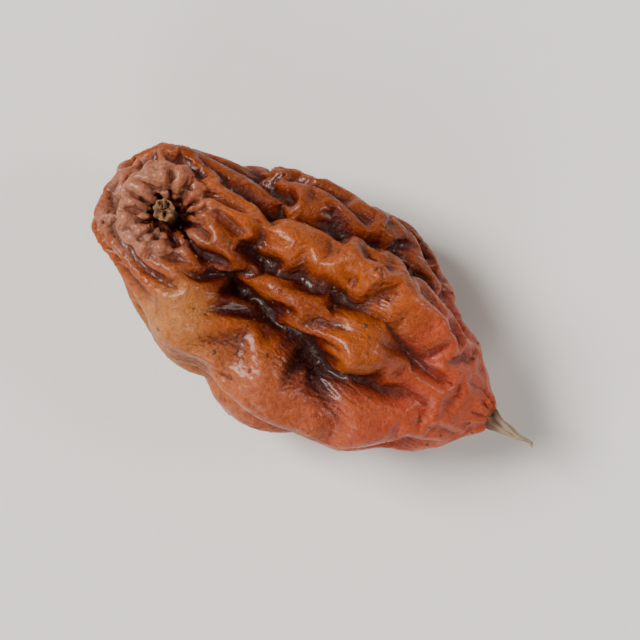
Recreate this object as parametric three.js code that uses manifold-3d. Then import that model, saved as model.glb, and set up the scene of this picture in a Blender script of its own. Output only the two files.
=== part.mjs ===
// A dried sea buckthorn berry, lying on its flattest side as it was picked and dried.
// Millimetres. +X runs from the stalk end to the pointed blossom end, +Z is up, and the berry rests on z = 0
// with the middle of its footprint at the origin.
import * as THREE from "three";
import { mergeVertices } from "three/addons/utils/BufferGeometryUtils.js";
import Module from "manifold-3d";

const wasm = await Module();
wasm.setup();

// ---------------------------------------------------------------- driving sizes

const FRUIT_LENGTH = 7.0; // stalk end to the point of the fruit, without the style
const FACES_AROUND = 92;
const FACES_ALONG = 42;
const PIECE_GAP = 0.03; // clear air between the fruit and each piece that sits on it

// Sections of the fruit before it wrinkles, as a table of offsets from stalk end to blossom end:
// [share of the length, left edge y, right edge y, top z, bottom z].
const SECTIONS = [
  [0.0, 0.5, 0.5, 1.95, 1.95],
  [0.012, 0.98, 0.0, 2.4, 1.55],
  [0.045, 1.38, -0.28, 2.68, 1.2],
  [0.1, 1.66, -0.42, 2.86, 0.8],
  [0.18, 1.78, -0.92, 2.98, 0.26],
  [0.27, 1.92, -1.46, 3.12, -0.12],
  [0.38, 2.2, -1.7, 3.28, -0.2],
  [0.5, 2.42, -1.79, 3.36, -0.2],
  [0.62, 2.32, -1.74, 3.22, -0.18],
  [0.73, 2.0, -1.52, 2.92, -0.06],
  [0.82, 1.58, -1.16, 2.56, 0.34],
  [0.9, 1.1, -0.74, 2.18, 0.8],
  [0.955, 0.68, -0.32, 1.86, 1.12],
  [0.988, 0.38, -0.02, 1.66, 1.36],
  [1.0, 0.18, 0.18, 1.52, 1.52],
];
const WIDEST_AT = 0.46; // height of the widest line, as a share from bottom to top
const SQUARENESS = 0.93; // 1 is a plain ellipse, less is boxier
const REST_HEIGHT = 0.0; // the skin is pressed flat where it lies

// Folds of the shrunken skin. A route is a list of [share of the length, degrees round the section], where
// 0 is the left edge, 90 the top, 180 the right edge and 270 the underside. Depth is into the fruit, and a
// negative depth is a ridge. Reach is how far to each side the fold is felt.
const FOLDS = [
  // the collapsed middle of the upper side, the long furrow from the stalk hollow and the seed ridge beside it
  { route: [[0.28, 88], [0.45, 92], [0.66, 98]], depth: 0.3, reach: 0.78 },
  { route: [[0.16, 84], [0.27, 89], [0.4, 98], [0.54, 106], [0.65, 112], [0.75, 106], [0.88, 98]], depth: 0.5, reach: 0.32 },
  { route: [[0.25, 62], [0.36, 73], [0.47, 77], [0.6, 76], [0.76, 80], [0.87, 84]], depth: 0.3, reach: 0.26 },
  { route: [[0.3, 78], [0.46, 90], [0.6, 95], [0.74, 93]], depth: -0.14, reach: 0.3 },
  // the left shoulder: a crest that runs to the point, and the trough outside it
  { route: [[0.44, 58], [0.56, 61], [0.66, 60], [0.76, 57], [0.88, 60]], depth: -0.17, reach: 0.24 },
  { route: [[0.2, 30], [0.36, 41], [0.54, 38], [0.72, 27], [0.88, 32]], depth: 0.4, reach: 0.27 },
  { route: [[0.47, 38], [0.5, 50], [0.5, 68]], depth: 0.22, reach: 0.2 },
  { route: [[0.66, 30], [0.71, 44], [0.78, 52]], depth: 0.16, reach: 0.17 },
  // the right rim: a full roll of skin, with a crease under it
  { route: [[0.2, 122], [0.34, 134], [0.52, 140], [0.68, 142], [0.84, 132]], depth: -0.18, reach: 0.34 },
  { route: [[0.14, 156], [0.3, 166], [0.46, 159], [0.62, 168], [0.8, 160], [0.92, 150]], depth: 0.42, reach: 0.26 },
  { route: [[0.38, 110], [0.43, 126], [0.41, 144]], depth: 0.16, reach: 0.18 },
  { route: [[0.6, 116], [0.69, 130], [0.7, 150]], depth: 0.18, reach: 0.18 },
  // the left side: a shallow dent crossed by a slanting crease
  { route: [[0.34, 352], [0.52, 0], [0.7, 350]], depth: 0.16, reach: 0.5 },
  { route: [[0.12, 18], [0.26, 8], [0.42, 350], [0.56, 336], [0.7, 330]], depth: 0.34, reach: 0.23 },
  { route: [[0.5, 14], [0.62, 4], [0.76, 8], [0.9, 22]], depth: 0.28, reach: 0.22 },
  { route: [[0.62, 346], [0.76, 340], [0.9, 346]], depth: 0.26, reach: 0.22 },
  { route: [[0.1, 326], [0.26, 314], [0.44, 318], [0.6, 306], [0.76, 312], [0.9, 306]], depth: 0.38, reach: 0.25 },
  { route: [[0.18, 350], [0.24, 334], [0.22, 318]], depth: 0.16, reach: 0.18 },
  // the right side below the rim
  { route: [[0.1, 190], [0.26, 188], [0.4, 200], [0.56, 214], [0.72, 210], [0.88, 220]], depth: 0.38, reach: 0.25 },
  { route: [[0.48, 182], [0.6, 192], [0.74, 190], [0.88, 182]], depth: 0.26, reach: 0.21 },
  { route: [[0.12, 232], [0.26, 226], [0.42, 236]], depth: 0.28, reach: 0.23 },
  { route: [[0.34, 164], [0.38, 180], [0.36, 198]], depth: 0.18, reach: 0.19 },
  { route: [[0.68, 164], [0.65, 178], [0.66, 190]], depth: 0.16, reach: 0.18 },
  // the underside, which lies on three flattened lobes
  { route: [[0.08, 262], [0.2, 268], [0.36, 260], [0.5, 266]], depth: 0.32, reach: 0.28 },
  { route: [[0.44, 276], [0.58, 270], [0.72, 264], [0.82, 270], [0.92, 262]], depth: 0.34, reach: 0.26 },
  { route: [[0.7, 236], [0.8, 244], [0.92, 238]], depth: 0.24, reach: 0.22 },
];

// The hollow that the stalk stood in, and the puckered collar on its stalk side.
const HOLLOW = { at: [0.155, 84], depth: 0.72, reach: 0.36, collarRadius: 0.62, collarRise: 0.15, collarReach: 0.24 };

const STALK = { radius: 0.2, length: 0.62, sunk: 0.1, sides: 14, lean: 0.25 };
const STYLE = { baseRadius: 0.19, tipRadius: 0.06, length: 1.05, sunk: 0.25, sides: 10, steps: 7, droop: 0.16, sweep: 0.1 };

// ---------------------------------------------------------------- the unwrinkled fruit

const leftAndTop = new THREE.CatmullRomCurve3(
  SECTIONS.map(([share, left, , top]) => new THREE.Vector3(share, left, top)),
  false,
  "catmullrom",
);
const rightAndBottom = new THREE.CatmullRomCurve3(
  SECTIONS.map(([share, , right, , bottom]) => new THREE.Vector3(share, right, bottom)),
  false,
  "catmullrom",
);

const power = (value) => Math.sign(value) * Math.abs(value) ** SQUARENESS;

// The point of the smooth fruit at a place along (0 to 1 through the sections) and an angle round it.
function smoothPoint(along, angle) {
  const a = leftAndTop.getPoint(along);
  const b = rightAndBottom.getPoint(along);
  const middleY = (a.y + b.y) / 2;
  const middleZ = THREE.MathUtils.lerp(b.z, a.z, WIDEST_AT);
  const rise = Math.sin(angle) > 0 ? a.z - middleZ : middleZ - b.z;
  return new THREE.Vector3(
    a.x * FRUIT_LENGTH,
    middleY + ((a.y - b.y) / 2) * power(Math.cos(angle)),
    middleZ + rise * power(Math.sin(angle)),
  );
}

const NUDGE = 1e-3;
const NEAR_POLE = 4e-3;

function smoothNormal(along, angle) {
  if (along < NEAR_POLE) return new THREE.Vector3(-1, 0, 0);
  if (along > 1 - NEAR_POLE) return new THREE.Vector3(1, 0, 0);
  const lengthwise = smoothPoint(along + NUDGE, angle).sub(smoothPoint(along - NUDGE, angle));
  const around = smoothPoint(along, angle + NUDGE).sub(smoothPoint(along, angle - NUDGE));
  return around.cross(lengthwise).normalize();
}

// Where a share of the length falls in the curves' own parameter, found by halving.
function alongAtShare(share) {
  let [low, high] = [0, 1];
  for (let i = 0; i < 40; i += 1) {
    const middle = (low + high) / 2;
    if (leftAndTop.getPoint(middle).x < share) low = middle;
    else high = middle;
  }
  return (low + high) / 2;
}

// ---------------------------------------------------------------- folds

const ROUTE_STEPS = 28;

// A fold's route laid on the smooth fruit as a chain of points, through its own smooth curve.
function laidRoute(route) {
  const flat = new THREE.CatmullRomCurve3(route.map(([share, degrees]) => new THREE.Vector3(share, degrees, 0)));
  return flat.getPoints(ROUTE_STEPS).map((p) => smoothPoint(alongAtShare(p.x), THREE.MathUtils.degToRad(p.y)));
}

const laidFolds = FOLDS.map((fold) => ({ ...fold, chain: laidRoute(fold.route) }));
const hollowAlong = alongAtShare(HOLLOW.at[0]);
const hollowAngle = THREE.MathUtils.degToRad(HOLLOW.at[1]);
const hollowMouth = smoothPoint(hollowAlong, hollowAngle);
const hollowAxis = smoothNormal(hollowAlong, hollowAngle);

// Distance from a point to a chain, and how far along the chain its nearest place is, from 0 to 1.
function nearestOnChain(point, chain) {
  const line = new THREE.Line3();
  const foot = new THREE.Vector3();
  let best = { distance: Infinity, share: 0 };
  for (let i = 0; i < chain.length - 1; i += 1) {
    line.set(chain[i], chain[i + 1]);
    const t = line.closestPointToPointParameter(point, true);
    const distance = line.at(t, foot).distanceTo(point);
    if (distance < best.distance) best = { distance, share: (i + t) / (chain.length - 1) };
  }
  return best;
}

const CREASE_SHARPNESS = 1.6; // 1 is a knife cut, 2 is a round trough
const END_FADE = 0.22; // share of a fold over which it runs out at each end

function foldDepth(point) {
  let depth = 0;
  for (const fold of laidFolds) {
    const { distance, share } = nearestOnChain(point, fold.chain);
    const fade = THREE.MathUtils.smoothstep(Math.min(share, 1 - share), -0.02, END_FADE);
    depth += fold.depth * fade * Math.exp(-((distance / fold.reach) ** CREASE_SHARPNESS));
  }
  return depth;
}

function hollowDepth(point) {
  const offset = point.clone().sub(hollowMouth);
  const distance = offset.length();
  const stalkSide = THREE.MathUtils.smoothstep(-offset.x / (distance + 0.05), -0.35, 0.6);
  const collar = Math.exp(-(((distance - HOLLOW.collarRadius) / HOLLOW.collarReach) ** 2));
  const pit = Math.exp(-((distance / HOLLOW.reach) ** 2));
  return HOLLOW.depth * pit - HOLLOW.collarRise * collar * stalkSide;
}

// ---------------------------------------------------------------- the fruit

// A point of the wrinkled skin, moved out by a clearance when the fruit is used to trim a neighbour.
function skinPoint(along, angle, clearance) {
  const point = smoothPoint(along, angle);
  const normal = smoothNormal(along, angle);
  point.addScaledVector(normal, clearance - foldDepth(point) - hollowDepth(point));
  point.z = Math.max(point.z, REST_HEIGHT);
  return point;
}

function fruitGeometry(clearance) {
  const ball = new THREE.SphereGeometry(1, FACES_AROUND, FACES_ALONG);
  const place = ball.getAttribute("position");
  for (let row = 0; row <= FACES_ALONG; row += 1) {
    for (let column = 0; column <= FACES_AROUND; column += 1) {
      const point = skinPoint(row / FACES_ALONG, angleOf(column), clearance);
      place.setXYZ(cornerOf(row, column), point.x, point.y, point.z);
    }
  }
  turnDiagonals(ball, clearance);
  return welded(ball);
}

const angleOf = (column) => (-2 * Math.PI * column) / FACES_AROUND;
const cornerOf = (row, column) => row * (FACES_AROUND + 1) + column;

// Each square of the skin is split along whichever diagonal lies nearer the true surface, so that a fold that
// runs slantwise across the squares keeps a clean edge. The first and last rows are fans with no diagonal.
function turnDiagonals(ball, clearance) {
  const place = ball.getAttribute("position");
  const corner = (index) => new THREE.Vector3().fromBufferAttribute(place, index);
  const sag = (from, to, surface) => corner(from).lerp(corner(to), 0.5).distanceTo(surface);
  let slot = 3 * FACES_AROUND;
  for (let row = 1; row < FACES_ALONG - 1; row += 1) {
    for (let column = 0; column < FACES_AROUND; column += 1) {
      const [a, b] = [cornerOf(row, column + 1), cornerOf(row, column)];
      const [c, d] = [cornerOf(row + 1, column), cornerOf(row + 1, column + 1)];
      const surface = skinPoint((row + 0.5) / FACES_ALONG, angleOf(column + 0.5), clearance);
      if (sag(a, c, surface) < sag(b, d, surface)) ball.index.array.set([a, b, c, a, c, d], slot);
      slot += 6;
    }
  }
}

function welded(geometry) {
  geometry.deleteAttribute("uv");
  geometry.deleteAttribute("normal");
  return mergeVertices(geometry, 1e-3);
}

// ---------------------------------------------------------------- the stalk stub and the style

// The stub of the stalk, broken off inside its hollow: a short post that flares to the break.
function stalkStubGeometry() {
  const { radius, length, sides } = STALK;
  const profile = [
    [0, 0],
    [radius * 0.8, 0],
    [radius * 0.86, length * 0.4],
    [radius, length * 0.75],
    [radius * 1.08, length * 0.92],
    [radius * 0.8, length],
    [0, length * 0.94],
  ].map(([r, z]) => new THREE.Vector2(r, z));
  const post = new THREE.LatheGeometry(profile, sides);
  const axis = hollowAxis.clone().add(new THREE.Vector3(-STALK.lean, 0, 0)).normalize();
  const turn = new THREE.Quaternion().setFromUnitVectors(new THREE.Vector3(0, 1, 0), axis);
  const foot = hollowMouth.clone().addScaledVector(hollowAxis, -HOLLOW.depth - STALK.sunk);
  post.applyQuaternion(turn);
  post.translate(foot.x, foot.y, foot.z);
  return welded(post);
}

// The dry remnant of the style: a thin bent bristle that tapers from the point of the fruit.
function styleRemnantGeometry() {
  const { baseRadius, tipRadius, length, sunk, sides, steps } = STYLE;
  const root = smoothPoint(1, 0);
  const spine = (t) =>
    new THREE.Vector3(
      root.x - sunk + length * t,
      root.y + STYLE.sweep * t * t,
      root.z - STYLE.droop * t * t,
    );
  const bristle = new THREE.CylinderGeometry(1, 1, 1, sides, steps);
  const place = bristle.getAttribute("position");
  for (let i = 0; i < place.count; i += 1) {
    const t = place.getY(i) + 0.5;
    const radius = THREE.MathUtils.lerp(baseRadius, tipRadius, Math.sqrt(t));
    const centre = spine(t);
    place.setXYZ(i, centre.x, centre.y - place.getX(i) * radius, centre.z + place.getZ(i) * radius);
  }
  return welded(bristle);
}

// ---------------------------------------------------------------- trimming one piece by another

function solidOf(geometry) {
  return new wasm.Manifold(
    new wasm.Mesh({
      numProp: 3,
      vertProperties: Float32Array.from(geometry.getAttribute("position").array),
      triVerts: Uint32Array.from(geometry.index.array),
    }),
  );
}

function geometryOf(solid) {
  const { vertProperties, triVerts } = solid.getMesh();
  return new THREE.BufferGeometry()
    .setAttribute("position", new THREE.BufferAttribute(vertProperties, 3))
    .setIndex(new THREE.BufferAttribute(triVerts, 1));
}

const clearOfFruit = solidOf(fruitGeometry(PIECE_GAP));
const trimmed = (geometry) => geometryOf(solidOf(geometry).subtract(clearOfFruit));

// ---------------------------------------------------------------- the berry

function named(name, geometry, color, roughness) {
  const mesh = new THREE.Mesh(geometry, new THREE.MeshStandardMaterial({ color, roughness, metalness: 0 }));
  mesh.name = name;
  return mesh;
}

const berry = new THREE.Group();
berry.add(
  named("fruit", fruitGeometry(0), 0xa8501c, 0.42),
  named("stalk_stub", trimmed(stalkStubGeometry()), 0x5a3a22, 0.85),
  named("style_remnant", trimmed(styleRemnantGeometry()), 0xb39b7c, 0.8),
);

// The frame's origin is under the middle of the berry's footprint.
const footprint = new THREE.Box3().setFromObject(berry);
berry.position.set(-(footprint.min.x + footprint.max.x) / 2, -(footprint.min.y + footprint.max.y) / 2, -footprint.min.z);

export default berry;
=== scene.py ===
"""A dried sea buckthorn berry: its wrinkled skin, its broken stalk, its dry style and the fine scales on
its skin, lying on a pale studio floor. Shapes are worked out in millimetres and finished in metres. +X runs
from the stalk end to the blossom end, where the style is, and +Z is up."""

import math
import random

import bmesh
import bpy
import numpy as np
from bpy.props import FloatProperty, FloatVectorProperty, IntProperty, PointerProperty
from mathutils import Matrix, Vector, noise


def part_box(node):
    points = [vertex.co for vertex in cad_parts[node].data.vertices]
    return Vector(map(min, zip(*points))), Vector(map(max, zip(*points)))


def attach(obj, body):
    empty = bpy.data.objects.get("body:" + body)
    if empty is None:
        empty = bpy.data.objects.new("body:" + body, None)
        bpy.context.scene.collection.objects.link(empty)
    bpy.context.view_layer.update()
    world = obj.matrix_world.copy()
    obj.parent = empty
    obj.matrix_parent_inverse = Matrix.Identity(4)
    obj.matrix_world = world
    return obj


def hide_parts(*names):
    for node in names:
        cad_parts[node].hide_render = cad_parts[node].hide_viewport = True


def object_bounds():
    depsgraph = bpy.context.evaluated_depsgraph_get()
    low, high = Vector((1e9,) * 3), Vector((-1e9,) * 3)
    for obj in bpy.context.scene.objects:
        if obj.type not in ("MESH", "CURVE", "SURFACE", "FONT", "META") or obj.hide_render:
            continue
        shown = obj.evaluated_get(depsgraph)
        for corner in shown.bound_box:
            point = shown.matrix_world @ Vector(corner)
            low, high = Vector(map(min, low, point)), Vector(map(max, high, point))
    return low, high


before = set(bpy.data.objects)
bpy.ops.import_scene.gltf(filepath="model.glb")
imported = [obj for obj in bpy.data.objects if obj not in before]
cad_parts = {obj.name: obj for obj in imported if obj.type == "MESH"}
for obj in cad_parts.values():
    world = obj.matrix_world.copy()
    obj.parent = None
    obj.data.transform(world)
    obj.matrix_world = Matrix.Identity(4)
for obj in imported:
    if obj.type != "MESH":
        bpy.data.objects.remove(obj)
CAD_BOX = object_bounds()

bl_info = {
    "name": "Dried Sea Buckthorn Berry",
    "version": (1, 0, 0),
    "blender": (4, 5, 0),
    "location": "View3D > Sidebar > Berry",
    "description": "Dries a berry's skin onto its pulp, and adds its stalk, its style and its scales",
    "category": "Add Mesh",
}

MM = 0.001


def box_mm(node):
    """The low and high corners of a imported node, in millimetres."""
    low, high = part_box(node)
    return Vector(low) / MM, Vector(high) / MM


# ---------------------------------------------------------------------------------------- settings


def length(name, description, millimetres):
    """A length setting, stored in metres."""
    return FloatProperty(name=name, description=description, default=millimetres * MM, min=0,
                         unit="LENGTH", precision=6)


def share(name, description, default, top=1.0):
    """A plain number setting."""
    return FloatProperty(name=name, description=description, default=default, min=0, max=top)


def colour(name, description, red, green, blue):
    """A colour setting, as linear light."""
    return FloatVectorProperty(name=name, description=description, default=(red, green, blue),
                               min=0, max=1, subtype="COLOR", size=3)


class SkinSettings(bpy.types.PropertyGroup):
    """How the skin dries and what it looks like."""

    net_size: length("Net size", "Edge length of the even net that dries into folds", 0.07)
    spare: share("Spare skin", "How much wider the ripe skin was than the dried fruit", 0.30)
    fine_spare: share("Spare fine skin", "Spare skin left over for the fine crinkles", 0.09)
    patch: length("Patch", "Size of the places that have more or less spare skin", 1.1)
    hold: share("Hold", "How firmly the pulp holds the skin", 0.27)
    hold_at_ends: share("Hold at the ends", "How firmly the skin is held at the stalk and the style", 0.7)
    fine_hold: share("Fine hold", "How firmly the folded skin holds the fine crinkles", 0.4)
    body: colour("Body", "Skin over the pulp", 0.168, 0.0188, 0.0005)
    # painted shade: the dark colour laid into the deep furrows
    deep: colour("Furrow", "Skin in the deep furrows", 0.050, 0.0046, 0.0004)
    red: colour("Mottle", "Redder patches of the skin", 0.085, 0.0068, 0.0004)
    # also laid on the crests and rims, where its lighter amber is partly the skin's own and partly a painted
    # highlight
    crest: colour("Crest", "Thin, amber skin along the crests and rims", 0.36, 0.074, 0.003)
    # on the shoulder this golden colour is partly the skin's own and partly a painted highlight
    gold: colour("Shoulder", "Golden skin on the smooth flank beside the stalk", 0.45, 0.175, 0.045)
    rose: colour("Flank", "Rosy skin on the smooth flank towards the blossom end", 0.43, 0.092, 0.046)
    tip: colour("Tip", "Pinker skin at the blossom end", 0.50, 0.068, 0.027)
    collar: colour("Collar", "Pale corky skin round the stalk hollow", 0.37, 0.170, 0.110)


class StalkSettings(bpy.types.PropertyGroup):
    """The broken stalk in its hollow."""

    ribs: IntProperty(name="Ribs", description="Ribs round the stalk", default=9, min=3)
    slivers: IntProperty(name="Slivers", description="Torn fibres that stand on the break", default=26, min=0)
    bark: colour("Bark", "Weathered outside of the stalk", 0.070, 0.027, 0.010)
    wood: colour("Wood", "Paler wood at the break", 0.22, 0.110, 0.050)


class StyleSettings(bpy.types.PropertyGroup):
    """The dry style at the blossom end."""

    ribs: IntProperty(name="Ribs", description="Ribs round the style", default=5, min=3)
    twist: FloatProperty(name="Twist", description="How far the style has twisted as it dried",
                         default=math.radians(110), subtype="ANGLE")
    pale: colour("Pale", "Sun-bleached outside", 0.30, 0.215, 0.150)
    # dark is the brown of the foot, and also painted shade in the grooves
    dark: colour("Dark", "Grooves and foot", 0.090, 0.042, 0.021)


class ScaleSettings(bpy.types.PropertyGroup):
    """The fine shield-shaped scales scattered over the skin."""

    count: IntProperty(name="Count", description="Scales on the whole berry", default=170, min=0)
    radius: length("Radius", "Radius of a full-sized scale", 0.052)
    rim: colour("Rim", "Rusty fringe of a scale", 0.24, 0.080, 0.022)
    heart: colour("Heart", "Brown middle of a scale", 0.090, 0.028, 0.009)


class StageSettings(bpy.types.PropertyGroup):
    """The floor, the lights and the camera."""

    floor_radius: length("Floor radius", "How far the floor runs before it curves up", 300)
    lens: FloatProperty(name="Lens", description="Focal length of the camera", default=200, unit="CAMERA")
    margin: share("Margin", "Width of the picture as a multiple of the berry's length", 1.28, 5)
    turn: FloatProperty(name="Turn", description="How far the berry's long axis is turned in the picture",
                        default=math.radians(28), subtype="ANGLE")
    floor: colour("Floor", "Floor and backdrop", 0.80, 0.775, 0.74)
    key: FloatProperty(name="Key light", description="Power of the large soft light", default=13,
                       unit="POWER")
    fill: FloatProperty(name="Fill light", description="Power of the light opposite", default=2.6,
                        unit="POWER")
    side: FloatProperty(name="Side light", description="Power of the light beyond the blossom end",
                        default=2.4, unit="POWER")


# ---------------------------------------------------------------------------------------- finishes


class Field:
    """A shader socket that can stand in a Python expression: each sum adds its Math node."""

    def __init__(self, finish, socket):
        self.finish = finish
        self.socket = socket

    def maths(self, operation, first, second):
        return self.finish.node("ShaderNodeMath", {"operation": operation}, {0: first, 1: second})

    def __add__(self, other):
        return self.maths("ADD", self, other)

    def __radd__(self, other):
        return self.maths("ADD", other, self)

    def __sub__(self, other):
        return self.maths("SUBTRACT", self, other)

    def __rsub__(self, other):
        return self.maths("SUBTRACT", other, self)

    def __mul__(self, other):
        return self.maths("MULTIPLY", self, other)

    def __rmul__(self, other):
        return self.maths("MULTIPLY", other, self)


class Finish:
    """A material in the making, with one way to add any node."""

    def __init__(self, name, **constants):
        self.material = bpy.data.materials.new(name)
        self.material.use_nodes = True
        self.tree = self.material.node_tree
        self.shader = self.tree.nodes["Principled BSDF"]
        for socket, value in constants.items():
            self.shader.inputs[socket.replace("_", " ")].default_value = value
        place = self.node("ShaderNodeTexCoord", output="Object")
        self.mm = self.node("ShaderNodeMapping", values={"Vector": place, "Scale": (1 / MM,) * 3})

    def node(self, kind, settings=None, values=None, output=0):
        """Adds a node: its settings come first, then the values or links of its sockets."""
        made = self.tree.nodes.new(kind)
        for setting, value in (settings or {}).items():
            setattr(made, setting, value)
        for socket, value in (values or {}).items():
            self.feed(made.inputs[socket], value)
        return Field(self, made.outputs[output])

    def feed(self, socket, value):
        """Links a field to a socket, or sets the socket's own value."""
        if isinstance(value, Field):
            self.tree.links.new(value.socket, socket)
        elif hasattr(value, "__len__") and len(value) == 3 and socket.type == "RGBA":
            socket.default_value = (*value, 1)
        else:
            socket.default_value = value

    def attribute(self, name):
        return self.node("ShaderNodeAttribute", {"attribute_name": name}, output="Fac")

    def noise(self, scale, detail=3.0, roughness=0.55, vector=None, warp=0.0):
        """Noise between 0 and 1, its scale in features per millimetre."""
        values = {"Vector": vector or self.mm, "Scale": scale, "Detail": detail, "Roughness": roughness,
                  "Distortion": warp}
        return self.node("ShaderNodeTexNoise", values=values)

    def stretched(self, x, y, z):
        """Millimetre coordinates stretched along each axis."""
        return self.node("ShaderNodeMapping", values={"Vector": self.mm, "Scale": (x, y, z)})

    def step(self, value, low, high):
        """A smooth rise from 0 at low to 1 at high, or a fall if low is above high."""
        values = {"Value": value, "From Min": low, "From Max": high}
        return self.node("ShaderNodeMapRange", {"interpolation_type": "SMOOTHSTEP"}, values)

    def blend(self, amount, first, second, how="MIX"):
        """Colours blended by an amount."""
        settings = {"data_type": "RGBA", "blend_type": how}
        return self.node("ShaderNodeMix", settings, {0: amount, 6: first, 7: second}, output=2)

    def axis(self, name):
        """One millimetre coordinate."""
        return self.node("ShaderNodeSeparateXYZ", values={0: self.mm}, output=name)

    def distance(self, point):
        """Distance in millimetres from a point."""
        values = {0: self.mm, 1: tuple(point)}
        return self.node("ShaderNodeVectorMath", {"operation": "DISTANCE"}, values, output="Value")

    def surface(self, colour, roughness, height, depth):
        """Feeds the shader: colour, roughness, and a bump whose full height is depth in millimetres."""
        bump = self.node("ShaderNodeBump", values={"Height": height, "Distance": depth * MM, "Strength": 1.0})
        self.feed(self.shader.inputs["Base Color"], colour)
        self.feed(self.shader.inputs["Roughness"], roughness)
        self.feed(self.shader.inputs["Normal"], bump)
        return self.material


def frayed(value, width, grain):
    """A field whose contours are broken up by noise, over a band of the given width."""
    return value + width * (grain - 0.5)


UPPER_FACE = (1.5, 2.2)  # heights between which the sides turn into the upper face
# the first colour is painted shade for the creases; the second is the pores' own darker tone
CREASE_SHADE, PORE_TINT = (0.42, 0.25, 0.15), (0.66, 0.56, 0.48)  # what darkens the creases and the pores
DARK_SPECK = (0.03, 0.015, 0.008)
PAPER_SHADE = (0.62, 0.60, 0.57)
FULL = 1.0


def skin_layers(finish, skin, hollow, tip, furrow, fleck):
    """The colours laid over the body colour, from the pulp outwards, each as mask, strength and colour."""
    names = ("bulge", "golden", "dimple", "valley", "basin")
    bulge, golden, dimple, valley, basin = (finish.attribute(name) for name in names)
    x, y, z = (finish.axis(name) for name in "XYZ")
    side = frayed(y, 0.8, finish.noise(1.1, 4))
    upper = finish.step(z, *UPPER_FACE) * finish.step(x, 1.6, 0.4)

    # over the whole skin
    # the broad basins get more red mottle and less amber, partly the skin's own colour and partly painted
    # shade
    mottle = finish.step(finish.noise(1.0, 4, 0.6, warp=0.4) + 0.7 * (basin - 0.4), 0.42, 0.66)
    clear = finish.noise(0.8, 3, 0.55, finish.stretched(0.6, 1, 1)) - 0.5 * (basin - 0.3)
    amber = finish.step(clear, 0.50, 0.72)
    # the crests are lightened towards amber, partly the thin skin's own colour and partly a painted highlight
    crests = finish.step(frayed(furrow, 0.16, fleck), 0.46, 0.20)
    # painted shade: how far the furrows are darkened
    furrows = finish.step(frayed(furrow, 0.14, fleck), 0.50, 0.82)
    freckles = finish.step(finish.noise(2.4, 4, 0.65, warp=0.6), 0.53, 0.70)
    # on the upper face, from the smooth flank across to the far side
    flank = finish.step(side, -0.55, -1.35)
    flank_colour = finish.blend(finish.step(x, -2.3, 0.6), skin.gold, skin.rose)
    # the golden shoulder, partly the skin's own colour and partly a painted highlight
    shoulder = finish.step(frayed(golden, 0.3, fleck), 0.15, 0.80)
    middle = upper * finish.step(side, -0.75, -0.10) * finish.step(side, 0.75, 0.25)
    # the sunken valleys and the dimple turn darker red, partly the skin's own colour and partly painted shade
    valleys = finish.step(frayed(valley, 0.2, fleck), 0.22, 0.72)
    # the bulges turn amber; on the taut one this is partly a painted highlight
    bulges = finish.step(frayed(bulge, 0.3, fleck), 0.15, 0.75)
    dimples = finish.step(frayed(dimple, 0.3, fleck), 0.25, 0.85)
    sunny = upper * finish.step(side, 0.20, 0.65) * finish.step(side, 1.35, 1.0) * finish.step(x, -2.9, -2.0)
    # painted shade: the far side of the berry, at the top of the picture, is darkened towards red
    back = finish.step(side, 0.95, 1.6)
    # at both ends
    end = finish.step(frayed(x, 0.9, finish.noise(1.3)), tip.x - 2.5, tip.x - 1.0)
    mouth = frayed(finish.distance(hollow - Vector((0.25, 0, 0))), 0.8, finish.noise(1.6, 4))
    bloom = finish.step(finish.distance(hollow - Vector((0.75, 0.40, 0.20))), 1.6, 0.5)
    collar = finish.step(mouth, 1.15, 0.60) * finish.step(furrow, 0.62, 0.42)
    return (
        (mottle, FULL, skin.red),
        (amber, 0.5, skin.crest),
        (crests, 0.70, skin.crest),
        (middle, 0.4, skin.red),
        (sunny, 0.45, skin.crest),
        (valleys, 0.6, skin.red),
        (bulges, 0.75, skin.crest),
        (dimples, 0.8, skin.red),
        (back, 0.6, skin.red),
        (flank, 0.55, flank_colour),
        (shoulder, 0.7, skin.gold),
        (freckles, 0.5, skin.red),
        (end, 0.75, skin.tip),
        (collar, 0.5 + 0.38 * bloom, skin.collar),
        # painted shade in the furrows, weaker towards the blossom end and in the sunny band
        (furrows, 0.35 + 0.5 * finish.step(x, 1.7, 0.3) - 0.35 * sunny, skin.deep),
    )


def skin_finish(skin, hollow, tip):
    """Dried fruit skin: translucent and half glossy, with painted shade in its furrows and creases, and amber
    on its crests that is partly a painted highlight.
    """
    finish = Finish(
        "dried_fruit_skin",
        Subsurface_Weight=0.30,
        Subsurface_Radius=(1.0, 0.30, 0.08),
        Subsurface_Scale=0.45 * MM,
        Coat_Weight=0.22,
        Coat_Roughness=0.18,
        Specular_IOR_Level=0.23,
    )
    furrow, crease = finish.attribute("furrow"), finish.attribute("crease")
    fleck = finish.noise(6.0, 5, 0.7)
    colour = skin.body
    for mask, strength, paint in skin_layers(finish, skin, hollow, tip, furrow, fleck):
        colour = finish.blend(mask * strength, colour, paint)
    # painted shade: the fine creases are darkened
    colour = finish.blend(finish.step(crease, 0.54, 0.80) * 0.8, colour, CREASE_SHADE, "MULTIPLY")
    # painted highlight: the fine ridges between the creases are lightened
    colour = finish.blend(finish.step(crease, 0.46, 0.22) * 0.22, colour, skin.crest)
    pores = finish.step(finish.noise(13.0, 3, 0.6), 0.36, 0.60)
    shade = 0.45 * pores + 0.55 * finish.step(fleck, 0.28, 0.72)
    colour = finish.blend(shade, finish.blend(FULL, colour, PORE_TINT, "MULTIPLY"), colour)
    grain = finish.noise(16.0, 4, 0.65)
    strings = finish.noise(5.0, 4, 0.65, finish.stretched(0.35, 1.6, 1.6), warp=0.8)
    dull = 0.12 * finish.step(furrow, 0.4, 0.8) + 0.2 * finish.attribute("dimple")
    height = 0.30 * grain + 0.25 * pores + 0.45 * strings
    return finish.surface(colour, 0.22 + 0.22 * grain + dull, height, 0.035)


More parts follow.
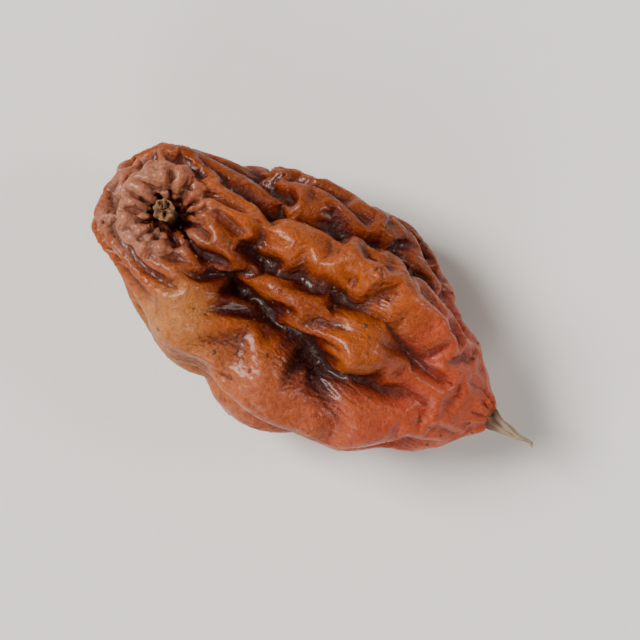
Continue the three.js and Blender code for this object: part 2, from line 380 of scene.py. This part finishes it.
def stalk_finish(stalk, low, high):
    """Weathered bark with dark specks, and paler torn wood towards the break."""
    finish = Finish("stalk_wood", Specular_IOR_Level=0.3)
    fibre = finish.noise(11.0, 4, 0.6, finish.stretched(1, 1, 0.16))
    top = finish.step(frayed(finish.axis("Z"), 0.10, fibre), low + 0.72 * (high - low), high - 0.02)
    weathered = finish.blend(0.45, stalk.bark, stalk.wood)
    colour = finish.blend(finish.step(fibre, 0.3, 0.7), stalk.bark, weathered)
    colour = finish.blend(top * 0.85, colour, stalk.wood)
    colour = finish.blend(finish.step(finish.noise(16, 3), 0.62, 0.72) * 0.5, colour, DARK_SPECK)
    return finish.surface(colour, 0.66 + 0.24 * fibre, fibre, 0.016)


def style_finish(style, foot, tip):
    """A dry papery bristle: bleached along its ribs, brown at its foot, and with painted shade in its
    grooves.
    """
    finish = Finish("dry_style", Specular_IOR_Level=0.35)
    fibre = finish.noise(14.0, 4, 0.6, finish.stretched(0.16, 1, 1))
    groove = finish.attribute("crease")
    along = finish.step(frayed(finish.axis("X"), 0.12, fibre), foot, foot + 0.45 * (tip - foot))
    colour = finish.blend(along, style.dark, style.pale)
    # painted shade: the grooves are darkened
    colour = finish.blend(finish.step(groove, 0.5, 0.85) * 0.75, colour, style.dark)
    colour = finish.blend(finish.step(fibre, 0.62, 0.8) * 0.5, colour, style.dark)
    return finish.surface(colour, 0.6 + 0.3 * fibre, fibre, 0.012)


def scale_finish(scales):
    """A scale: brown in the middle, with a rusty fringe."""
    finish = Finish("peltate_scale", Specular_IOR_Level=0.45)
    streak = finish.noise(40, 2)
    fringe = finish.step(frayed(finish.attribute("edge"), 0.3, streak), 0.25, 0.8)
    colour = finish.blend(fringe, scales.heart, scales.rim)
    return finish.surface(colour, 0.42 + 0.25 * streak, streak, 0.004)


def floor_finish(stage):
    """Pale matt studio paper with a faint tooth."""
    finish = Finish("studio_paper", Specular_IOR_Level=0.2)
    tooth = finish.noise(2.5, 4, 0.6)
    colour = finish.blend(tooth * 0.08, stage.floor, PAPER_SHADE)
    return finish.surface(colour, 0.82 + 0.1 * tooth, tooth, 0.01)


# ---------------------------------------------------------------------------------------- meshes


def points_of(mesh):
    """The places of a mesh's vertices, one row each."""
    flat = np.empty(3 * len(mesh.vertices))
    mesh.vertices.foreach_get("co", flat)
    return flat.reshape(-1, 3)


def set_points(mesh, points):
    mesh.vertices.foreach_set("co", points.ravel())
    mesh.update()


def normals_of(mesh):
    flat = np.empty(3 * len(mesh.vertices))
    mesh.vertices.foreach_get("normal", flat)
    return flat.reshape(-1, 3)


def averaged(points, mesh, rounds):
    """The points after some rounds of moving each to the middle of its neighbours."""
    ends = np.empty(2 * len(mesh.edges), dtype=np.int64)
    mesh.edges.foreach_get("vertices", ends)
    ends = ends.reshape(-1, 2)
    here, there = np.concatenate([ends, ends[:, ::-1]]).T
    neighbours = np.bincount(here, minlength=len(points))
    for _ in range(rounds):
        sums = [np.bincount(here, weights=points[there, k], minlength=len(points)) for k in range(3)]
        points = np.stack(sums, axis=1) / neighbours[:, None]
    return points


def sunken(mesh, rounds, reach):
    """How far each vertex lies below the averaged surface, as 0.5 plus a share of reach, from 0 to 1."""
    points = points_of(mesh)
    below = np.einsum("ij,ij->i", averaged(points, mesh, rounds) - points, normals_of(mesh))
    return np.clip(0.5 + below / (2 * reach), 0, 1)


def store(mesh, name, values):
    """Keeps one number for each vertex, for a finish to read."""
    layer = mesh.attributes.get(name) or mesh.attributes.new(name, "FLOAT", "POINT")
    layer.data.foreach_set("value", np.asarray(values, dtype=np.float32))


def new_piece(name, mesh, material):
    """Puts a mesh in the scene as a smooth-shaded piece."""
    piece = bpy.data.objects.new(name, mesh)
    bpy.context.scene.collection.objects.link(piece)
    mesh.materials.clear()
    mesh.materials.append(material)
    mesh.shade_smooth()
    return piece


def meshed(name, shape):
    """Turns a millimetre bmesh into a mesh in metres and frees it."""
    bmesh.ops.scale(shape, vec=(MM,) * 3, verts=shape.verts)
    mesh = bpy.data.meshes.new(name)
    shape.to_mesh(mesh)
    shape.free()
    return mesh


def apply_modifiers(piece):
    """Bakes a piece's modifiers and shape keys into its mesh."""
    graph = bpy.context.evaluated_depsgraph_get()
    finished = bpy.data.meshes.new_from_object(piece.evaluated_get(graph))
    piece.modifiers.clear()
    piece.data = finished


def dress(piece, node=None):
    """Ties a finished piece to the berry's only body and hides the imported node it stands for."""
    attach(piece, "root")
    if node:
        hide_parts(node)


# ---------------------------------------------------------------------------------------- the skin

SOLVER_SIZE = 1 / MM  # the drying is simulated with each millimetre as a metre, which suits the solver
MERGE_DISTANCE = 1e-7
# Places on the upper face, in millimetres: x, y, how far each reaches and how far it rises.
# The bulges are painted amber; on the taut one this stands partly for a painted highlight.
BULGES = ((0.69, 0.08, 0.48, 0.13), (0.95, 0.75, 0.50, 0.04), (0.11, 0.90, 0.32, 0.10))  # full, amber, taut
# the shoulder's golden colour is partly a painted highlight
GOLDEN = ((-2.03, -0.91, 0.55, 0.05),)  # the smooth shoulder beside the stalk
# the dimple is also painted darker red, partly as painted shade
DIMPLES = ((0.16, -0.76, 0.42, -0.12),)  # sunk, red and dull
# For each kind of hollow: rounds of averaging, and the depth in millimetres that counts as fully sunk.
VALLEY, BASIN, FURROW, CREASE, STYLE_GROOVE = (100, 0.15), (500, 0.4), (120, 0.2), (14, 0.035), (4, 0.012)
FORM_ROUNDS = 40  # rounds of averaging that leave only the fruit's broad form
RESTING_HEIGHT = 0.02  # skin lower than this is pressed flat on the floor
FOLDING = {"bending": 4, "frames": 30, "quality": 5}  # a stiff cloth makes the big folds
CRINKLING = {"bending": 0.2, "frames": 12, "quality": 3}  # a limp one makes the fine crinkles
STRETCH_STIFFNESS, SHEAR_STIFFNESS = 6, 2
FLANK_EDGE, FLANK_FOOT = 0.45, 0.4  # how far off the middle line, and how high up, the smooth flank starts
TAPER_LENGTH, LEAST_AT_TIP = 2.5, 0.3  # how the spare skin tapers off at the blossom end
END_REACH = 0.58  # how far from each end the skin is held more firmly, in millimetres
PUCKER_DEPTH = 0.7  # how far above and below its centre a ring of ridges reaches, in millimetres
STALK_TILT = Vector((-0.16, 0.06, 1))  # the way the stalk hollow opens
TOWARDS_STYLE = Vector((1, 0, 0))


def fruit_net(skin):
    """An even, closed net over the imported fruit, at the solver's size."""
    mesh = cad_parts["fruit"].data.copy()
    shape = bmesh.new()
    shape.from_mesh(mesh)
    bmesh.ops.remove_doubles(shape, verts=shape.verts, dist=MERGE_DISTANCE)
    bmesh.ops.scale(shape, vec=(SOLVER_SIZE,) * 3, verts=shape.verts)
    shape.to_mesh(mesh)
    shape.free()
    net = bpy.data.objects.new("fruit_skin", mesh)
    bpy.context.scene.collection.objects.link(net)
    remesh = net.modifiers.new("even_net", "REMESH")
    remesh.mode = "VOXEL"
    remesh.voxel_size = skin.net_size * SOLVER_SIZE
    apply_modifiers(net)
    return net


def nearness(points, places):
    """How near each point of the upper face lies to each place, from 0 to 1, one column for each place."""
    x, y, z = points.T
    near = [np.exp(-((x - east) ** 2 + (y - north) ** 2) / reach ** 2) for east, north, reach, _ in places]
    return np.stack(near, axis=1) * (z > UPPER_FACE[0])[:, None]


def form_face(net):
    """Raises the bulges and sinks the dimples, and keeps where they are for the finish."""
    points, normals = points_of(net.data), normals_of(net.data)
    for name, places in (("bulge", BULGES), ("golden", GOLDEN), ("dimple", DIMPLES)):
        near = nearness(points, places)
        rise = near @ np.array([place[3] for place in places])
        points = points + normals * rise[:, None]
        store(net.data, name, near.max(axis=1))
    set_points(net.data, points)


def spare_shares(points, patch, spread, evenness):
    """How the spare skin differs from place to place, about 1. Patches of the given size differ by the
    spread. There is less skin to spare on the smooth flank and the bulges, by the evenness, and at the
    blossom end."""
    low, high = box_mm("fruit")
    x, y, z = points.T
    uneven = np.array([noise.noise(Vector(point) / patch) for point in points])
    flank = np.clip((high.y + low.y) / 2 - y - FLANK_EDGE, 0, 1) * np.clip(z - FLANK_FOOT, 0, 1)
    bulge = nearness(points, BULGES + GOLDEN).max(axis=1)
    towards_tip = np.clip((high.x - x) / TAPER_LENGTH, LEAST_AT_TIP, 1)
    taut = (1 - evenness * flank) * (1 - evenness * bulge) * towards_tip
    return np.clip((1 + spread * uneven) * taut, 0, None)


def ripened(points, spare, lengthwise):
    """The skin before it dried: wider by the spare shares, and longer by a part of them."""
    low, high = box_mm("fruit")
    middle = np.array((low + high) / 2)
    return points + (points - middle) * np.stack([spare * lengthwise, spare, spare], axis=1)


def held_ends(points, skin, hollow, tip):
    """How firmly each point of the skin is held by the pulp: more firmly at both ends."""
    distances = [np.linalg.norm(points - np.array(end), axis=1) for end in (hollow, tip)]
    nearest = np.exp(-((np.minimum(*distances) / END_REACH) ** 2))
    return skin.hold + (skin.hold_at_ends - skin.hold) * nearest


def dry(net, ripe, hold, bending, frames, quality):
    """Dries a net as cloth: its hold draws it from its ripe points back to its own, and the spare skin
    wrinkles. The shape keys shrink the hold over the first quarter of the frames."""
    dried = points_of(net.data)
    hold = np.where(dried[:, 2] < RESTING_HEIGHT, 1, hold)
    set_points(net.data, ripe)
    net.shape_key_add(name="ripe")
    key = net.shape_key_add(name="dried")
    key.data.foreach_set("co", dried.ravel())
    for at, value in ((1, 0), (1 + frames // 4, 1)):
        key.value = value
        key.keyframe_insert("value", frame=at)
    group = net.vertex_groups.new(name="pulp")
    for index, weight in enumerate(hold):
        group.add([index], float(weight), "REPLACE")
    cloth = net.modifiers.new("drying", "CLOTH")
    cloth.point_cache.frame_end = frames + 1
    cloth.collision_settings.use_collision = False
    fabric = cloth.settings
    fabric.quality = quality
    fabric.tension_stiffness = fabric.compression_stiffness = STRETCH_STIFFNESS
    fabric.shear_stiffness = SHEAR_STIFFNESS
    fabric.bending_stiffness = bending
    fabric.vertex_group_mass = group.name
    fabric.pin_stiffness = 1
    fabric.effector_weights.gravity = 0
    for at in range(1, frames + 1):
        bpy.context.scene.frame_set(at)
    apply_modifiers(net)
    net.vertex_groups.clear()
    bpy.context.scene.frame_set(1)


def shrivel(net, skin, hollow, tip):
    """The big folds: the whole skin dries onto the pulp, and keeps the fruit's own broad form."""
    dried = points_of(net.data)
    shares = spare_shares(dried, skin.patch / MM, spread=0.8, evenness=0.77)
    ripe = ripened(dried, skin.spare * shares, lengthwise=0.13)
    dry(net, ripe, held_ends(dried, skin, hollow, tip), **FOLDING)
    folded = points_of(net.data)
    form = averaged(dried, net.data, FORM_ROUNDS) - averaged(folded, net.data, FORM_ROUNDS)
    set_points(net.data, folded + form)


def crinkle(net, skin):
    """The fine crinkles: the folded skin dries a little more, in smaller patches."""
    folded = points_of(net.data)
    shares = spare_shares(folded, 0.8 * skin.patch / MM, spread=1, evenness=0.25)
    ripe = ripened(folded, skin.fine_spare * shares, lengthwise=0.5)
    dry(net, ripe, skin.fine_hold, **CRINKLING)


def pucker(mesh, centre, axis, reach, ridges, height):
    """Raises a drawn-in ring of uneven ridges round a centre, such as the mouth of the stalk hollow."""
    points = points_of(mesh)
    axis = axis.normalized()
    across = axis.orthogonal().normalized()
    offsets = points - np.array(centre)
    x, y = offsets @ np.array(across), offsets @ np.array(axis.cross(across))
    angle = np.arctan2(y, x)
    near = np.abs(offsets @ np.array(axis)) < PUCKER_DEPTH
    ring = np.exp(-(((np.hypot(x, y) - reach) / (0.55 * reach)) ** 2)) * near
    ridge = 0.35 + 0.65 * np.cos(ridges * angle + 1.4 * np.sin(2 * angle) + 0.8 * np.sin(5 * angle))
    set_points(mesh, points + normals_of(mesh) * (height * ring * ridge)[:, None])


def fit(points):
    """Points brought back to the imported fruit's own box, in millimetres."""
    low, high = box_mm("fruit")
    shares = (points - points.min(axis=0)) / np.ptp(points, axis=0)
    return np.array(low) + shares * np.array(high - low)


def build_skin(skin):
    """The dried skin. It is formed, dried into folds, refined and puckered, then dried into crinkles. What
    lies sunken at each stage is kept for the finish."""
    hollow, tip = landmarks()
    net = fruit_net(skin)
    form_face(net)
    store(net.data, "valley", sunken(net.data, *VALLEY))
    shrivel(net, skin, hollow, tip)
    store(net.data, "basin", sunken(net.data, *BASIN))
    store(net.data, "furrow", sunken(net.data, *FURROW))
    smooth = net.modifiers.new("smooth", "SUBSURF")
    smooth.levels = smooth.render_levels = 1
    apply_modifiers(net)
    pucker(net.data, hollow, STALK_TILT, reach=0.46, ridges=13, height=0.075)
    pucker(net.data, tip, TOWARDS_STYLE, reach=0.24, ridges=9, height=0.06)
    crinkle(net, skin)
    mesh = net.data
    set_points(mesh, fit(points_of(mesh)))
    store(mesh, "crease", sunken(mesh, *CREASE))
    set_points(mesh, points_of(mesh) * MM)
    mesh.materials.clear()
    mesh.materials.append(skin_finish(skin, hollow, tip))
    mesh.shade_smooth()
    return net


def landmarks():
    """The mouth of the stalk hollow and the blossom end of the fruit, in millimetres."""
    low, high = box_mm("stalk_stub")
    hollow = Vector(((low.x + high.x) / 2, (low.y + high.y) / 2, high.z))
    low, high = box_mm("style_remnant")
    fruit_end = box_mm("fruit")[1].x
    tip = Vector((fruit_end, (low.y + high.y) / 2, high.z - 0.1))
    return hollow, tip


# ---------------------------------------------------------------------------------------- stalk and style

# Widths of the stalk's rings from its swollen foot to the break, and the step up to the next, of its length.
STALK_WIDTHS = (1.18, 1.10, 1.02, 0.96, 0.92, 0.90, 0.88, 0.87, 0.88, 0.90, 0.93, 0.97, 0.99, 0.95)
STALK_STEP = 0.1
STALK_FOOT = -0.62  # where the lowest ring lies from the stalk's middle, as a share of its length
SLANTED_RINGS = 3  # rings below the break that slant with it
STYLE_STEPS = 26
STYLE_FRAYS = 6


def extruded(shape, edges, matrix):
    """Extrudes a ring of edges and transforms the new one, whose edges it returns."""
    made = bmesh.ops.extrude_edge_only(shape, edges=edges)["geom"]
    verts = [part for part in made if isinstance(part, bmesh.types.BMVert)]
    bmesh.ops.transform(shape, matrix=matrix, verts=verts)
    return [part for part in made if isinstance(part, bmesh.types.BMEdge)
            and all(vert in verts for vert in part.verts)]


def verts_of(edges):
    """The vertices of some edges, each once, in the order of the edges."""
    return list(dict.fromkeys(vert for edge in edges for vert in edge.verts))


def tube(sides, route, radii, turn=0.0):
    """A tube of rings along a route, closed at its foot, and its open ring of edges."""
    shape = bmesh.new()
    ahead = route[1] - route[0]
    upright = ahead.to_track_quat("Z", "Y").to_matrix().to_4x4()
    start = Matrix.Translation(route[0]) @ upright
    ring = bmesh.ops.create_circle(shape, cap_ends=True, segments=sides, radius=radii[0], matrix=start)
    edges = list(dict.fromkeys(edge for vert in ring["verts"] for edge in vert.link_edges))
    for here, there, radius, wider in zip(route, route[1:], radii, radii[1:]):
        step = Matrix.Translation(there) @ Matrix.Rotation(turn, 4, there - here)
        step = step @ Matrix.Scale(wider / radius, 4) @ Matrix.Translation(-here)
        edges = extruded(shape, edges, step)
    return shape, edges


def torn_end(shape, edges, rings, ragged):
    """Closes a ring of edges with a rough broken face of smaller and smaller rings."""
    for number in range(rings, 0, -1):
        verts = verts_of(edges)
        middle = sum((vert.co for vert in verts), Vector()) / len(verts)
        shrink = (number - 0.5) / (number + 0.5)
        smaller = Matrix.Translation(middle) @ Matrix.Scale(shrink, 4) @ Matrix.Translation(-middle)
        edges = extruded(shape, edges, smaller)
        for vert in verts_of(edges):
            vert.co += ragged * (noise.noise(vert.co * 14) - 0.25)
    face = bmesh.ops.contextual_create(shape, geom=edges)["faces"]
    bmesh.ops.poke(shape, faces=face)


def sliver(shape, root, heading, size, thickness):
    """A thin torn fibre that stands on a break."""
    lean = heading.to_track_quat("Z", "Y").to_matrix().to_4x4()
    place = Matrix.Translation(root + heading.normalized() * (size / 2)) @ lean
    bmesh.ops.create_cone(shape, cap_ends=True, segments=5, radius1=thickness, radius2=thickness * 0.2,
                          depth=size, matrix=place)


def build_stalk(stalk):
    """The broken stalk: a ribbed post on a swollen foot, torn off at a slant, with fibres on the break."""
    low, high = box_mm("stalk_stub")
    draw = random.Random(4)
    middle = (low + high) / 2
    radius = 0.40 * (high.y - low.y)
    height = high.z - low.z
    heights = [height * (STALK_STEP * number + STALK_FOOT) for number in range(len(STALK_WIDTHS))]
    route = [middle + STALK_TILT * up for up in heights]
    shape, rim = tube(48, route, [radius * wide for wide in STALK_WIDTHS])
    torn_end(shape, rim, rings=6, ragged=Vector((0, 0, 0.09)))
    for vert in shape.verts:
        out = vert.co - middle - STALK_TILT * (vert.co.z - middle.z)
        angle = math.atan2(out.y, out.x)
        rib = 0.07 * math.cos(stalk.ribs * angle + 2.2 * (vert.co.z - low.z) + 2 * noise.noise(vert.co * 2))
        rough = 0.16 * noise.noise(Vector((vert.co.x * 9, vert.co.y * 9, vert.co.z * 2.5)))
        vert.co += out * (rib + rough)
        slant = max(0, vert.co.z - route[-SLANTED_RINGS].z) / (SLANTED_RINGS * STALK_STEP * height)
        vert.co.z += slant * (0.07 * math.cos(angle - 0.8) + 0.05 * noise.noise(vert.co * 11))
    top = route[-1]
    for _ in range(stalk.slivers):
        angle, out = draw.uniform(0, 2 * math.pi), radius * draw.uniform(0.1, 0.85)
        root = top + Vector((math.cos(angle) * out, math.sin(angle) * out, -0.06))
        heading = STALK_TILT + Vector((draw.uniform(-0.5, 0.5), draw.uniform(-0.5, 0.5), 0))
        sliver(shape, root, heading, draw.uniform(0.06, 0.15), draw.uniform(0.008, 0.018))
    bmesh.ops.recalc_face_normals(shape, faces=shape.faces)
    mesh = meshed("stalk_end", shape)
    return new_piece("stalk_end", mesh, stalk_finish(stalk, low.z, high.z))


def build_style(style):
    """The dry style: a tapering, twisted bristle with ribs, bent as it dried and frayed at its point."""
    low, high = box_mm("style_remnant")
    root = Vector((low.x - 0.16, high.y - 0.15, high.z - 0.16))
    point = Vector((high.x - 0.06, (low.y + root.y) / 2, low.z + 0.07))
    spine, radii = [], []
    for at in (number / STYLE_STEPS for number in range(STYLE_STEPS + 1)):
        bow = math.sin(math.pi * at)
        sway = Vector((0, noise.noise((at * 4, 0, 3)), noise.noise((at * 4, 5, 0)))) * (0.05 * at)
        spine.append(root.lerp(point, at) + Vector((0, -0.03 * bow, 0.045 * bow)) + sway)
        radii.append(0.125 * (1 - at) ** 1.7 + 0.058 - 0.030 * at)
    shape, end = tube(36, spine, radii, turn=style.twist / STYLE_STEPS)
    torn_end(shape, end, rings=2, ragged=Vector((0.05, 0, 0)))
    for vert in shape.verts:
        number = min(range(len(spine)), key=lambda at: (spine[at] - vert.co).length_squared)
        out = vert.co - spine[number]
        angle = math.atan2(out.z, out.y) - style.twist * number / STYLE_STEPS
        vert.co += out * (0.20 * math.cos(style.ribs * angle) + 0.30 * noise.noise(vert.co * 6))
    draw = random.Random(9)
    for _ in range(STYLE_FRAYS):
        heading = Vector((1, draw.uniform(-0.6, 0.6), draw.uniform(-0.6, 0.4)))
        foot = point + Vector((-0.05, draw.uniform(-0.02, 0.02), draw.uniform(-0.02, 0.02)))
        sliver(shape, foot, heading, draw.uniform(0.06, 0.12), 0.010)
    bmesh.ops.recalc_face_normals(shape, faces=shape.faces)
    mesh = meshed("style_bristle", shape)
    points = points_of(mesh)
    set_points(mesh, points / MM)
    store(mesh, "crease", sunken(mesh, *STYLE_GROOVE))
    set_points(mesh, points)
    return new_piece("style_bristle", mesh, style_finish(style, low.x, high.x))


# ---------------------------------------------------------------------------------------- scales

SCALE_GAP = 0.2  # least distance between two scales
BARE_HEIGHT = 0.15  # the skin below this lies against the floor and has no scales
SCALE_HEIGHT = 0.024


def build_scales(scales, skin_piece):
    """Shield-shaped scales pressed onto the skin, closer together towards both ends."""
    mesh = skin_piece.data
    points, normals = points_of(mesh) / MM, normals_of(mesh)
    half = np.ptp(points[:, 0]) / 2
    draw = random.Random(21)
    shape = bmesh.new()
    edge = shape.verts.layers.float.new("edge")
    placed = []
    while len(placed) < scales.count:
        index = draw.randrange(len(points))
        place, normal = Vector(points[index]), Vector(normals[index])
        towards_end = abs(place.x - points[:, 0].mean()) / half
        if draw.random() > 0.35 + 0.65 * towards_end ** 2 or place.z < BARE_HEIGHT:
            continue
        if any((place - other).length < SCALE_GAP for other in placed):
            continue
        placed.append(place)
        radius = scales.radius / MM * draw.uniform(0.35, 1.0)
        lean = (normal + 0.12 * Vector([draw.uniform(-1, 1) for _ in range(3)])).to_track_quat("Z", "Y")
        turn = Matrix.Rotation(draw.uniform(0, math.pi), 4, "Z")
        matrix = Matrix.Translation(place) @ lean.to_matrix().to_4x4() @ turn
        disc = bmesh.ops.create_cone(shape, cap_ends=True, segments=11, radius1=radius,
                                     radius2=radius * 0.5, depth=SCALE_HEIGHT, matrix=matrix)["verts"]
        for vert in disc:
            out = vert.co - place
            is_rim = out.dot(normal) < 0
            vert[edge] = is_rim
            vert.co = place + out * (draw.uniform(0.70, 1.0) if is_rim else 1)
    return new_piece("skin_scales", meshed("skin_scales", shape), scale_finish(scales))


# ---------------------------------------------------------------------------------------- stage

FLOOR_DROP = 0.004 * MM  # the floor lies a hair below the berry, so that the two never share a plane
COVE, WALL = 0.14, 0.04  # radius of the floor's upward curve and height of the wall above it, of its radius
LIGHT_DISTANCE = 0.9
SKY_COLOUR, SKY_STRENGTH = (1.0, 0.98, 0.95, 1), 0.14
CLIP_NEAR, CLIP_FAR = 0.01, 100  # of the camera's distance


def build_floor(stage):
    """A round floor that curves up into a low backdrop all round."""
    radius = stage.floor_radius
    curve, rise = COVE * radius, WALL * radius
    shape = bmesh.new()
    profile = [(0, 0), (radius * 0.1, 0), (radius - curve, 0)]
    for angle in np.linspace(0, math.pi / 2, 10)[1:]:
        profile.append((radius - curve + curve * math.sin(angle), curve * (1 - math.cos(angle))))
    profile.append((radius, curve + rise))
    verts = [shape.verts.new((out, 0, up - FLOOR_DROP)) for out, up in profile]
    edges = [shape.edges.new(pair) for pair in zip(verts, verts[1:])]
    bmesh.ops.spin(shape, geom=verts + edges, cent=(0, 0, 0), axis=(0, 0, 1), angle=2 * math.pi, steps=96,
                   use_merge=True)
    bmesh.ops.remove_doubles(shape, verts=shape.verts, dist=1e-6)
    mesh = bpy.data.meshes.new("studio_floor")
    shape.to_mesh(mesh)
    shape.free()
    return new_piece("studio_floor", mesh, floor_finish(stage))


def soft_light(name, towards, size, power, warmth):
    """A square soft light that looks at the berry from a direction."""
    data = bpy.data.lights.new(name, "AREA")
    data.energy, data.size, data.color = power, size, warmth
    light = bpy.data.objects.new(name, data)
    bpy.context.scene.collection.objects.link(light)
    direction = Vector(towards).normalized()
    light.location = direction * LIGHT_DISTANCE
    light.rotation_euler = direction.to_track_quat("Z", "Y").to_euler()


def build_lights(stage):
    """A soft key from the left of the picture, a fill from its foot, a side light beyond the blossom end
    and a pale sky."""
    right = Vector((math.cos(stage.turn), math.sin(stage.turn), 0))
    up = Vector((-math.sin(stage.turn), math.cos(stage.turn), 0))
    rise = Vector((0, 0, 1))
    soft_light("key", up * 0.35 - right * 0.9 + rise * 1.15, 0.36, stage.key, (1.0, 0.97, 0.93))
    soft_light("fill", -up * 0.9 - right * 0.35 + rise * 0.75, 0.35, stage.fill, (1.0, 0.98, 0.96))
    soft_light("side", right * 0.95 + up * 0.1 + rise * 0.8, 0.25, stage.side, (1.0, 0.97, 0.94))
    world = bpy.data.worlds.new("pale_sky")
    world.use_nodes = True
    sky = world.node_tree.nodes["Background"]
    sky.inputs["Color"].default_value = SKY_COLOUR
    sky.inputs["Strength"].default_value = SKY_STRENGTH
    bpy.context.scene.world = world


def build_camera(stage):
    """A long lens straight above the berry, turned so that its long axis slants across the picture."""
    low, high = CAD_BOX
    middle = (low + high) / 2
    data = bpy.data.cameras.new("berry_camera")
    data.lens = stage.lens
    width = (high.x - low.x) * stage.margin
    distance = width * data.lens / data.sensor_width
    data.clip_start, data.clip_end = distance * CLIP_NEAR, distance * CLIP_FAR
    camera = bpy.data.objects.new("berry_camera", data)
    bpy.context.scene.collection.objects.link(camera)
    camera.location = middle + Vector((0, 0, distance))
    camera.rotation_euler = (0, 0, stage.turn)
    bpy.context.scene.camera = camera


# ---------------------------------------------------------------------------------------- operators


class BERRY_OT_skin(bpy.types.Operator):
    """Dry the skin onto the pulp so that its spare area wrinkles"""

    bl_idname = "berry.skin"
    bl_label = "Dried Skin"

    def execute(self, context):
        dress(build_skin(context.scene.berry_skin), "fruit")
        return {"FINISHED"}


class BERRY_OT_scales(bpy.types.Operator):
    """Scatter fine shield-shaped scales over the skin"""

    bl_idname = "berry.scales"
    bl_label = "Skin Scales"

    def execute(self, context):
        skin_piece = bpy.data.objects["fruit_skin"]
        dress(build_scales(context.scene.berry_scales, skin_piece))
        return {"FINISHED"}


class BERRY_OT_stalk(bpy.types.Operator):
    """Stand the broken stalk in its hollow"""

    bl_idname = "berry.stalk"
    bl_label = "Broken Stalk"

    def execute(self, context):
        dress(build_stalk(context.scene.berry_stalk), "stalk_stub")
        return {"FINISHED"}


class BERRY_OT_style(bpy.types.Operator):
    """Grow the dry style at the blossom end"""

    bl_idname = "berry.style"
    bl_label = "Dry Style"

    def execute(self, context):
        dress(build_style(context.scene.berry_style), "style_remnant")
        return {"FINISHED"}


class BERRY_OT_stage(bpy.types.Operator):
    """Set up the floor, the lights and the camera"""

    bl_idname = "berry.stage"
    bl_label = "Studio Stage"

    def execute(self, context):
        stage = context.scene.berry_stage
        build_floor(stage)
        build_lights(stage)
        build_camera(stage)
        return {"FINISHED"}


class BERRY_PT_sidebar(bpy.types.Panel):
    """Lists the berry's pieces in the order they are made"""

    bl_idname = "BERRY_PT_sidebar"
    bl_label = "Dried Berry"
    bl_space_type = "VIEW_3D"
    bl_region_type = "UI"
    bl_category = "Berry"

    def draw(self, context):
        for operator, settings in STEPS:
            box = self.layout.box()
            box.operator(operator.bl_idname)
            group = getattr(context.scene, settings)
            for name in group.__annotations__:
                box.prop(group, name)


STEPS = [
    (BERRY_OT_skin, "berry_skin"),
    (BERRY_OT_scales, "berry_scales"),
    (BERRY_OT_stalk, "berry_stalk"),
    (BERRY_OT_style, "berry_style"),
    (BERRY_OT_stage, "berry_stage"),
]
GROUPS = {
    "berry_skin": SkinSettings,
    "berry_scales": ScaleSettings,
    "berry_stalk": StalkSettings,
    "berry_style": StyleSettings,
    "berry_stage": StageSettings,
}
OTHER_CLASSES = [operator for operator, _ in STEPS] + [BERRY_PT_sidebar]


def register():
    for name, group in GROUPS.items():
        bpy.utils.register_class(group)
        setattr(bpy.types.Scene, name, PointerProperty(type=group))
    for other in OTHER_CLASSES:
        bpy.utils.register_class(other)


def unregister():
    for other in reversed(OTHER_CLASSES):
        bpy.utils.unregister_class(other)
    for name, group in reversed(GROUPS.items()):
        delattr(bpy.types.Scene, name)
        bpy.utils.unregister_class(group)


def main():
    """Makes every piece in order."""
    register()
    for operator, _ in STEPS:
        group, name = operator.bl_idname.split(".")
        getattr(getattr(bpy.ops, group), name)()


if __name__ == "__main__":
    main()
